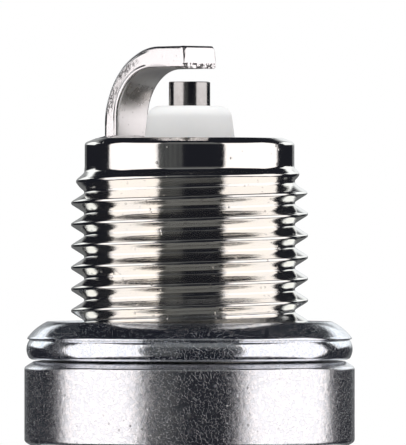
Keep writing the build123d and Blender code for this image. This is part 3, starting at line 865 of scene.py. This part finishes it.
def strip_ring(station):
    """The section at a station, in millimetres: rounded edges, bend, sheared end, unevenness."""
    outer, inner, bend, setback = station
    outer, inner = Vector((outer[0], 0, outer[1])), Vector((inner[0], 0, inner[1]))
    thick = (outer - inner).length
    out_way = (outer - inner).normalized()
    ring = []
    for across, through, pull_across, pull_through in strip_section():
        half = STRIP_WIDTH / 2 + BEND_BULGE * bend * (0.5 - through)
        y, height = across * half, through * thick
        if pull_through is not None:
            y -= pull_across * EDGE_ROUND
            height -= pull_through * EDGE_ROUND
        elif pull_across[0] == 0.0:
            limit = half - EDGE_ROUND * FLAT_END
            y = min(max(y, -limit), limit)
        else:
            height = min(max(height, EDGE_ROUND * FLAT_END), thick - EDGE_ROUND * FLAT_END)
        round_off = lerp(BURR_EDGE, ROLL_OVER, smooth(height / thick * 1.3 - 0.2))
        if setback < round_off:
            drop = round_off - math.sqrt(round_off**2 - (round_off - setback) ** 2)
            y *= 1 - min(drop, MOST_NARROWING) / half
            height = thick / 2 + (height - thick / 2) * (1 - drop / (thick / 2) * 0.9)
        wave = noise.noise(Vector((inner.x * 0.9, y * 0.7, inner.z * 0.9 + height)))
        if setback == 1.0:
            height -= UNEVEN * (1 + wave) * (2 * height / thick - 1)
        point = inner + out_way * height
        ring.append((point.x, y, point.z))
    return ring


print("points round the section:", len(strip_section()))

# %% Strip mesh
FACE_RINGS = (0.97, 0.91, 0.83, 0.73, 0.62, 0.50, 0.38, 0.26, 0.14)  # from the rim to the middle
TEAR_DEPTH = 0.045


def make_strip():
    vertices, faces, rings = [], [], []
    for station in strip_stations():
        first = len(vertices)
        ring = strip_ring(station)
        vertices.extend(ring)
        rings.append(list(range(first, first + len(ring))))
    rim = strip_ring(strip_stations()[-1])
    middle = (STRIP_TOP + STRIP_UNDER) / 2
    for share in FACE_RINGS:
        first = len(vertices)
        for _, y, z in rim:
            at_z = middle + (z - middle) * share
            at_y = y * share
            torn = 1 - smooth((at_z - STRIP_UNDER - TEAR_HEIGHT * 0.55) / (TEAR_HEIGHT * 0.6))
            grain = noise.noise(Vector((at_y * 5.5, at_z * 7, 3)))
            grain += 0.6 * noise.noise(Vector((at_y * 13, at_z * 15, 8)))
            vertices.append((STRIP_TIP - torn * TEAR_DEPTH * (0.8 + grain), at_y, at_z))
        rings.append(list(range(first, first + len(rim))))
    for lower, upper in zip(rings, rings[1:]):
        bridge(faces, upper, lower)
    faces.append(list(reversed(rings[0])))
    centre = len(vertices)
    vertices.append((STRIP_TIP, 0, middle))
    last = rings[-1]
    for i, number in enumerate(last):
        faces.append((last[(i + 1) % len(last)], number, centre))
    return add_piece("ground_electrode_strip", vertices, faces, "plug",
                     "ground_electrode")


strip = make_strip()

# %% [markdown]
# ## The weld
#
# The strip is pressed on the shell's end while a current melts the joint, and a little metal is
# squeezed out all round. It is trimmed flush outside and left as a thin uneven bead at the sides
# and inside. Rings round the foot, each lower and wider than the one before, with some noise in
# their size, make that bead.

# %% Weld mesh
BEAD_POINTS = 96
BEAD_RINGS = 9
BEAD_SIDE, BEAD_IN = 0.70, 0.14  # how far it spreads at the strip's sides, and in and out
BEAD_RISE = 0.20
BEAD_LUMPS = 0.45
BEAD_SQUARENESS = 5  # 2 would make the rings oval
BEAD_TRIM = 0.55  # how near the shell's edge it starts to be trimmed low
BEAD_ROOT = 0.34  # how deep the bead's closed underside lies in the shell


def bead_point(angle, share):
    """A point of the bead at an angle round the foot; share 0 is up at the strip, 1 outside."""
    cosine, sine = math.cos(angle), math.sin(angle)
    power = BEAD_SQUARENESS
    square = (abs(cosine) ** power + abs(sine) ** power) ** (-1 / power)
    lump = 1 + BEAD_LUMPS * noise.noise(Vector((cosine * 2.1, sine * 2.1, 4.0)))
    reach_x = (STRIP_IN - STRIP_OUT) / 2 - 0.04 + share * BEAD_IN * lump
    reach_y = STRIP_WIDTH / 2 - 0.05 + share * BEAD_SIDE * lump
    x = (STRIP_IN + STRIP_OUT) / 2 + square * cosine * reach_x
    y = square * sine * reach_y
    z = SHELL_SIZES["end"] + BEAD_RISE * lump * math.cos(share * math.pi / 2) ** 1.3 - 0.02
    limit = SHELL_SIZES["land"] - 0.03
    out = math.hypot(x, y)
    if out > limit - BEAD_TRIM:
        z = min(z, SHELL_SIZES["end"] + 0.05 + 0.14 * smooth((limit - out) / 0.4) * lump)
    if out > limit:
        x, y = x * limit / out, y * limit / out
    return (x, y, z)


def make_weld():
    vertices, faces, rings = [], [], []
    for ring in range(BEAD_RINGS + 2):
        share = min(ring / (BEAD_RINGS - 1), 1.0)
        first = len(vertices)
        for step in range(BEAD_POINTS):
            x, y, z = bead_point(2 * math.pi * step / BEAD_POINTS, share)
            if ring == BEAD_RINGS:
                z = SHELL_SIZES["end"] - 0.12
            elif ring > BEAD_RINGS:
                x, y, z = x * 0.97, y * 0.9, SHELL_SIZES["end"] - BEAD_ROOT
            vertices.append((x, y, z))
        rings.append(list(range(first, first + BEAD_POINTS)))
    for above, below in zip(rings, rings[1:]):
        bridge(faces, below, above)
    faces.append(rings[0])
    faces.append(list(reversed(rings[-1])))
    return add_piece("weld_bead", vertices, faces, "plug")


weld = make_weld()

# %% [markdown]
# ## Surface effects that several metals share
#
# Five effects cover the plug's metals. Plating is never quite even: it clouds in patches. Turned
# faces keep fine rings round the axis. Rolling dies leave the same lines on every turn of the
# thread. Handling leaves specks. Barrel plating leaves a crystal mottle. Each is one node group
# that gives a mask, a height or both, and each material takes them at its own scale. They use
# object coordinates, in metres, so they stay on the metal when it moves.


# %% Effect groups
def make_cloud_group():
    """Soft patches, as plating thickness varies."""
    inputs = {"Vector": None, "Scale": 400.0}
    group, given, result = new_group("plating clouds", inputs, ("Mask", "Height"))
    broad = noise_node(group, given["Vector"], given["Scale"], 3.0, 0.5)
    fine = times(group, given["Scale"], 6.0)
    small = noise_node(group, given["Vector"], fine, 4.0, 0.6)
    both = math_node(group, "MULTIPLY_ADD", small, 0.3, times(group, broad, 0.7))
    group.links.new(ramp_between(group, both, 0.34, 0.66), result["Mask"])
    group.links.new(both, result["Height"])
    return group


def make_ring_group():
    """Fine rings round the axis, as a lathe tool or a thread die leaves them."""
    inputs = {"Vector": None, "Scale": 9000.0}
    group, given, result = new_group("turning rings", inputs, ("Height",))
    flat = stretch(group, given["Vector"], (0.012, 0.012, 1.0))
    group.links.new(noise_node(group, flat, given["Scale"], 3.0, 0.65), result["Height"])
    return group


def make_die_group():
    """Fine lines along the thread, the same on every turn, as the rolling dies leave them."""
    inputs = {"Vector": None, "Pitch": 1.25 * MM, "Scale": 9.0}
    group, given, result = new_group("die marks", inputs, ("Height",))
    axes = axes_of(group, given["Vector"])
    angle = math_node(group, "ARCTAN2", axes["Y"], axes["X"])
    turn = math_node(group, "DIVIDE", angle, 2 * math.pi)
    climb = math_node(group, "DIVIDE", axes["Z"], given["Pitch"])
    phase = math_node(group, "FRACT", math_node(group, "SUBTRACT", climb, turn))
    line = group.nodes.new("ShaderNodeCombineXYZ")
    group.links.new(phase, line.inputs["X"])
    group.links.new(times(group, turn, 0.25), line.inputs["Y"])
    group.links.new(noise_node(group, line.outputs[0], given["Scale"], 3.0, 0.6), result["Height"])
    return group


def random_cells(group, given):
    """Voronoi cells: a number that each has to itself, and the distance from its middle."""
    cells = group.nodes.new("ShaderNodeTexVoronoi")
    for name in ("Vector", "Scale"):
        feed(group, cells.inputs[name], given[name])
    number = group.nodes.new("ShaderNodeSeparateColor")
    group.links.new(cells.outputs["Color"], number.inputs[0])
    return number.outputs[0], cells.outputs["Distance"]


def make_speck_group():
    """Small pits and specks from handling, given as one mask."""
    inputs = {"Vector": None, "Scale": 5000.0, "Amount": 0.2}
    group, given, result = new_group("specks", inputs, ("Mask",))
    number, distance = random_cells(group, given)
    wanted = math_node(group, "LESS_THAN", number, given["Amount"])
    near = ramp_between(group, distance, 0.34, 0.16)
    group.links.new(times(group, wanted, near), result["Mask"])
    return group


def make_mottle_group():
    """The crystal grain of zinc plating: small flat cells with hard borders."""
    inputs = {"Vector": None, "Scale": 4500.0}
    group, given, result = new_group("zinc mottle", inputs, ("Mask", "Height"))
    shift = noise_node(group, given["Vector"], times(group, given["Scale"], 0.5))
    height = math_node(group, "MULTIPLY_ADD", shift, 1.2, random_cells(group, given)[0])
    group.links.new(ramp_between(group, height, 0.7, 1.5), result["Mask"])
    group.links.new(height, result["Height"])
    return group


clouds, rings_group = make_cloud_group(), make_ring_group()
specks, mottle, die_marks = make_speck_group(), make_mottle_group(), make_die_group()
print("groups:", [group.name for group in (clouds, rings_group, specks, mottle, die_marks)])

# %% Material start
finishes = {}


def add_finish(slot, material):
    finishes[slot] = material
    print(slot, "is made of", len(material.node_tree.nodes), "nodes")


def new_material(name, **sockets):
    """A Principled material and what its cells need: tree, shader and object coordinates.

    Sockets that are the same all over are given by name, with underscores for spaces.
    """
    material = bpy.data.materials.new(name)
    material.use_nodes = True
    tree = material.node_tree
    shader = tree.nodes["Principled BSDF"]
    for label, value in sockets.items():
        shader.inputs[label.replace("_", " ")].default_value = value
    place = tree.nodes.new("ShaderNodeTexCoord").outputs["Object"]
    return material, tree, shader, place


def bump(tree, shader, heights):
    """Adds up (height, depth in millimetres) pairs and feeds them to the shader's normal."""
    total = None
    for height, depth in heights:
        part = times(tree, height, depth * MM)
        total = part if total is None else math_node(tree, "ADD", total, part)
    node = tree.nodes.new("ShaderNodeBump")
    node.inputs["Strength"].default_value = 1.0
    node.inputs["Distance"].default_value = 1.0
    tree.links.new(total, node.inputs["Height"])
    tree.links.new(node.outputs["Normal"], shader.inputs["Normal"])


def blend_roughness(tree, shader, low, high, mask):
    value = math_node(tree, "MULTIPLY_ADD", mask, high - low, low)
    tree.links.new(value, shader.inputs["Roughness"])


# %% [markdown]
# ## Nickel plate on the shell
#
# The shell is nickel plate over steel. The thread and the smooth band above it are almost mirrors,
# with the lines of the dies still in them. The flange and the hexagon were cold forged and keep a
# grain under the plate. Two materials would leave a hard border between them, so one covers both:
# the height along the plug says which finish is where.

# %% Shell material
FORGED_BELOW = (-1.9, -2.4)  # the finish changes over this height
THREADED_BELOW = (8.9, 8.5)


def make_shell_material():
    material, tree, shader, place = new_material("nickel plate", Metallic=1.0)
    height = axes_of(tree, place)["Z"]
    forged = ramp_mm(tree, height, *FORGED_BELOW)
    cloud = place_group(tree, clouds, Vector=place, Scale=520.0)
    turning = place_group(tree, rings_group, Vector=place, Scale=11000.0)
    grain = place_group(tree, mottle, Vector=place, Scale=5200.0)
    speck = place_group(tree, specks, Vector=place, Scale=3200.0, Amount=0.10)["Mask"]
    rolled = place_group(tree, die_marks, Vector=place, Pitch=SHELL_SIZES["pitch"] * MM, Scale=22.0)
    threaded = ramp_mm(tree, height, *THREADED_BELOW)
    die_lines = times(tree, rolled["Height"], threaded)
    bright = mix_color(tree, cloud["Mask"], (0.93, 0.90, 0.845, 1), (0.90, 0.885, 0.85, 1))
    dull = mix_color(tree, grain["Mask"], (0.86, 0.87, 0.90, 1), (0.97, 0.96, 0.97, 1))
    color = mix_color(tree, forged, bright, dull)
    color = mix_color(tree, times(tree, speck, 0.35), color, (0.45, 0.43, 0.41, 1))
    tree.links.new(color, shader.inputs["Base Color"])
    rough = math_node(tree, "MULTIPLY_ADD", cloud["Mask"], 0.05, 0.055)
    rough = math_node(tree, "MULTIPLY_ADD", forged, 0.15, rough)
    rough = math_node(tree, "MULTIPLY_ADD", speck, 0.10, rough)
    tree.links.new(rough, shader.inputs["Roughness"])
    forged_grain = times(tree, grain["Height"], forged)
    bump(tree, shader, [
        (turning["Height"], 0.0024),
        (cloud["Height"], 0.006),
        (die_lines, 0.006),
        (speck, 0.006),
        (forged_grain, 0.010),
    ])
    return material


add_finish("shell_steel", make_shell_material())

# %% [markdown]
# ## Zinc on the gasket
#
# The gasket is soft steel sheet, tumbled in zinc. It is mottled everywhere, with a bluish cast. A
# plain noise bump would look like sand, so the grain comes from small cells with hard borders.

# %% Gasket material
def make_gasket_material():
    material, tree, shader, place = new_material("gasket zinc", Metallic=1.0)
    grain = place_group(tree, mottle, Vector=place, Scale=6500.0)
    cloud = place_group(tree, clouds, Vector=place, Scale=700.0)
    color = mix_color(tree, grain["Mask"], (0.84, 0.875, 0.93, 1), (0.95, 0.965, 0.99, 1))
    tree.links.new(color, shader.inputs["Base Color"])
    blend_roughness(tree, shader, 0.09, 0.20, cloud["Mask"])
    bump(tree, shader, [(grain["Height"], 0.0075), (cloud["Height"], 0.008)])
    return material


add_finish("gasket_steel", make_gasket_material())

# %% [markdown]
# ## Nickel of the electrodes
#
# The ground electrode is drawn and annealed nickel: satin, with creases along the side of its bend,
# whose valleys are painted near black as shade, and a torn, dark lower edge where it was sheared
# off.
# Both lie in known places, so masks are worked out from the strip's own sizes, and noise breaks
# them up. Its inner face is rougher.
# The centre electrode is turned and bright, and is coloured darker than the ground electrode.

# %% Electrode materials
def distance_from_back(tree, axes):
    """How far a point lies in from the strip's outer face, along the leg and round the bend."""
    from_middle = math_node(tree, "SUBTRACT", axes["X"], (STRIP_OUT + BEND_OUT) * MM)
    above = math_node(tree, "SUBTRACT", axes["Z"], (STRIP_TOP - BEND_OUT) * MM)
    above = math_node(tree, "MAXIMUM", above, 0.0)
    squares = times(tree, from_middle, from_middle)
    squares = math_node(tree, "MULTIPLY_ADD", above, above, squares)
    return math_node(tree, "SUBTRACT", BEND_OUT * MM, math_node(tree, "SQRT", squares))


CREASE_SHADE_LOW, CREASE_SHADE_HIGH = (11.9, 12.4), (15.3, 14.8)  # heights over which the creases and their painted shade start and end
CREASE_SHADE_BACK, CREASE_SHADE_FRONT = (0.12, 0.26), (0.72, 0.40)  # distances in from the outer face
CREASE_SHADE_ARM = (-2.2, -3.2)  # along the arm
CREASE_SHADE_GAP_HEIGHT, CREASE_SHADE_GAP_EDGE = 13.85, (0.16, 0.34)  # the clean stretch between two patches
INNER_FACE = (0.98, 1.12)


def make_strip_material():
    material, tree, shader, place = new_material("drawn nickel", Metallic=1.0)
    cloud = place_group(tree, clouds, Vector=place, Scale=600.0)
    axes = axes_of(tree, place)
    creases = noise_node(tree, stretch(tree, place, (1.0, 0.35, 1.0)), 5200.0, 4.0, 0.7)
    from_edge = distance_from_back(tree, axes)
    from_gap = math_node(tree, "SUBTRACT", axes["Z"], CREASE_SHADE_GAP_HEIGHT * MM)
    band = ramp_mm(tree, math_node(tree, "ABSOLUTE", from_gap), *CREASE_SHADE_GAP_EDGE)
    for along, ends in (
        (from_edge, CREASE_SHADE_BACK), (from_edge, CREASE_SHADE_FRONT),
        (axes["Z"], CREASE_SHADE_LOW), (axes["Z"], CREASE_SHADE_HIGH), (axes["X"], CREASE_SHADE_ARM),
    ):
        band = times(tree, band, ramp_mm(tree, along, *ends))
    wrinkles = noise_node(tree, stretch(tree, place, (1.0, 0.5, 0.6)), 6500.0, 4.0, 0.75)
    # the crease mask dents the bump, and it also carries painted shade into the colour
    crease_with_painted_shade = times(tree, ramp_between(tree, wrinkles, 0.48, 0.57), band)
    at_end = ramp_mm(tree, axes["X"], STRIP_TIP - 0.10, STRIP_TIP - 0.06)
    ragged = math_node(tree, "MULTIPLY_ADD", creases, 0.16 * MM, axes["Z"])
    tear_top = STRIP_UNDER + TEAR_HEIGHT + 0.04
    torn = times(tree, at_end, ramp_mm(tree, ragged, tear_top + 0.06, tear_top))
    grit = noise_node(tree, place, 4200.0, 3.0, 0.6)
    tear = times(tree, ramp_between(tree, grit, 0.47, 0.56), torn)
    speck = place_group(tree, specks, Vector=place, Scale=4200.0, Amount=0.12)["Mask"]
    color = mix_color(tree, cloud["Mask"], (0.88, 0.855, 0.85, 1), (0.95, 0.93, 0.925, 1))
    # painted shade: the crease valleys are coloured near black
    color = mix_color(tree, times(tree, crease_with_painted_shade, 0.85), color, (0.12, 0.11, 0.11, 1))
    color = mix_color(tree, times(tree, tear, 0.9), color, (0.05, 0.045, 0.045, 1))
    color = mix_color(tree, times(tree, speck, 0.3), color, (0.4, 0.38, 0.37, 1))
    tree.links.new(color, shader.inputs["Base Color"])
    rough = math_node(tree, "MULTIPLY_ADD", cloud["Mask"], 0.09, 0.13)
    inside = ramp_mm(tree, from_edge, *INNER_FACE)
    tree.links.new(math_node(tree, "MULTIPLY_ADD", inside, 0.20, rough), shader.inputs["Roughness"])
    bump(tree, shader, [
        (creases, 0.004), (cloud["Height"], 0.007), (crease_with_painted_shade, -0.012), (tear, -0.05),
    ])
    return material


def make_tip_material():
    material, tree, shader, place = new_material("turned nickel", Metallic=1.0)
    turning = place_group(tree, rings_group, Vector=place, Scale=9000.0)
    cloud = place_group(tree, clouds, Vector=place, Scale=900.0)
    color = mix_color(tree, cloud["Mask"], (0.49, 0.475, 0.46, 1), (0.58, 0.565, 0.55, 1))
    tree.links.new(color, shader.inputs["Base Color"])
    blend_roughness(tree, shader, 0.13, 0.22, cloud["Mask"])
    bump(tree, shader, [(turning["Height"], 0.0016)])
    return material


add_finish("electrode_nickel", make_strip_material())
add_finish("electrode_tip", make_tip_material())

# %% [markdown]
# ## Alumina
#
# The nose is bare sintered alumina, matt and very white. Beyond the crimp the same piece is glazed.
# Light enters the ceramic a little way and comes out softened, which a touch of subsurface gives.

# %% Insulator material
GLAZED_BELOW = (-19.6, -20.2)


def make_alumina_material():
    material, tree, shader, place = new_material(
        "alumina",
        Subsurface_Weight=0.25,
        Subsurface_Scale=0.4 * MM,
        Subsurface_Radius=(1.0, 0.9, 0.8),
        Coat_Roughness=0.05,
    )
    glazed = ramp_mm(tree, axes_of(tree, place)["Z"], *GLAZED_BELOW)
    cloud = place_group(tree, clouds, Vector=place, Scale=260.0)
    speck = place_group(tree, specks, Vector=place, Scale=1500.0, Amount=0.05)["Mask"]
    color = mix_color(tree, cloud["Mask"], (0.84, 0.845, 0.845, 1), (0.87, 0.872, 0.87, 1))
    color = mix_color(tree, times(tree, speck, 0.15), color, (0.6, 0.58, 0.55, 1))
    tree.links.new(color, shader.inputs["Base Color"])
    tree.links.new(glazed, shader.inputs["Coat Weight"])
    rough = math_node(tree, "MULTIPLY_ADD", glazed, -0.25, 0.55)
    tree.links.new(rough, shader.inputs["Roughness"])
    bump(tree, shader, [(cloud["Height"], 0.006)])
    return material


add_finish("alumina", make_alumina_material())

# %% [markdown]
# ## The pieces inside
#
# The packings, the talc, the seals and the resistor are hidden in the finished plug, but each has
# its own finish, so that the model can be opened. One recipe serves them all: a base colour, a
# second colour in patches, two roughnesses and a depth of grain.

# %% Inner materials
INNER_FINISHES = {
    # slot: name, metallic, two colours, two roughnesses, cloud scale, grain depth
    "copper": (
        "drawn copper", 1.0, (0.90, 0.48, 0.30), (0.78, 0.36, 0.22), 0.18, 0.34, 900, 0.004,
    ),
    "packing_steel": (
        "packing steel", 1.0, (0.52, 0.52, 0.53), (0.40, 0.39, 0.39), 0.3, 0.5, 800, 0.006,
    ),
    "talc": (
        "pressed talc", 0.0, (0.80, 0.79, 0.75), (0.70, 0.69, 0.66), 0.8, 0.95, 1600, 0.03,
    ),
    "copper_glass": (
        "copper glass", 0.4, (0.50, 0.27, 0.18), (0.24, 0.15, 0.12), 0.3, 0.6, 1400, 0.02,
    ),
    "resistor_glass": (
        "carbon glass", 0.0, (0.045, 0.043, 0.042), (0.12, 0.115, 0.11), 0.4, 0.7, 1500, 0.02,
    ),
    "stud_steel": (
        "zinc plated steel", 1.0, (0.78, 0.79, 0.81), (0.66, 0.67, 0.70), 0.16, 0.32, 700, 0.005,
    ),
    "nut_steel": (
        "nickel plated nut", 1.0, (0.88, 0.86, 0.82), (0.80, 0.785, 0.76), 0.10, 0.22, 600, 0.004,
    ),
}


def make_inner_material(name, metallic, first, second, low, high, scale, depth):
    material, tree, shader, place = new_material(name, Metallic=metallic)
    cloud = place_group(tree, clouds, Vector=place, Scale=float(scale))
    turning = place_group(tree, rings_group, Vector=place, Scale=8000.0)
    color = mix_color(tree, cloud["Mask"], (*first, 1), (*second, 1))
    tree.links.new(color, shader.inputs["Base Color"])
    blend_roughness(tree, shader, low, high, cloud["Mask"])
    bump(tree, shader, [(cloud["Height"], depth), (turning["Height"], 0.0015)])
    return material


for slot_name, recipe in INNER_FINISHES.items():
    add_finish(slot_name, make_inner_material(*recipe))

# %% [markdown]
# ## Putting the finishes on
#
# The CAD nodes keep their meshes and only get a material. The pieces made here get theirs too, and
# so do the three nodes that they replace, which stay in the file unseen. Each finish lists what
# wears it. The keys are the slots of the record, but for the centre electrode's: it is coloured
# darker than the ground electrode, so it has a finish of its own.

# %% Assign
WEARERS = {
    "shell_steel": (nodes["shell"], shell),
    "gasket_steel": (nodes["gasket"], gasket, *tabs),
    "electrode_nickel": (nodes["ground_electrode"], strip, weld),
    "electrode_tip": (nodes["center_electrode"],),
    "alumina": (nodes["insulator"],),
    "packing_steel": [
        nodes[name] for name in ("seat_packing", "lower_packing_ring", "upper_packing_ring")
    ],
    "talc": (nodes["talc"],),
    "copper": (nodes["copper_core"],),
    "copper_glass": (nodes["lower_glass_seal"], nodes["upper_glass_seal"]),
    "resistor_glass": (nodes["resistor"],),
    "stud_steel": (nodes["terminal_stud"],),
    "nut_steel": (nodes["terminal_nut"],),
}
for finish_name, pieces in WEARERS.items():
    for piece in pieces:
        piece.data.materials.clear()
        piece.data.materials.append(finishes[finish_name])
print("pieces with a finish:", sum(len(pieces) for pieces in WEARERS.values()))
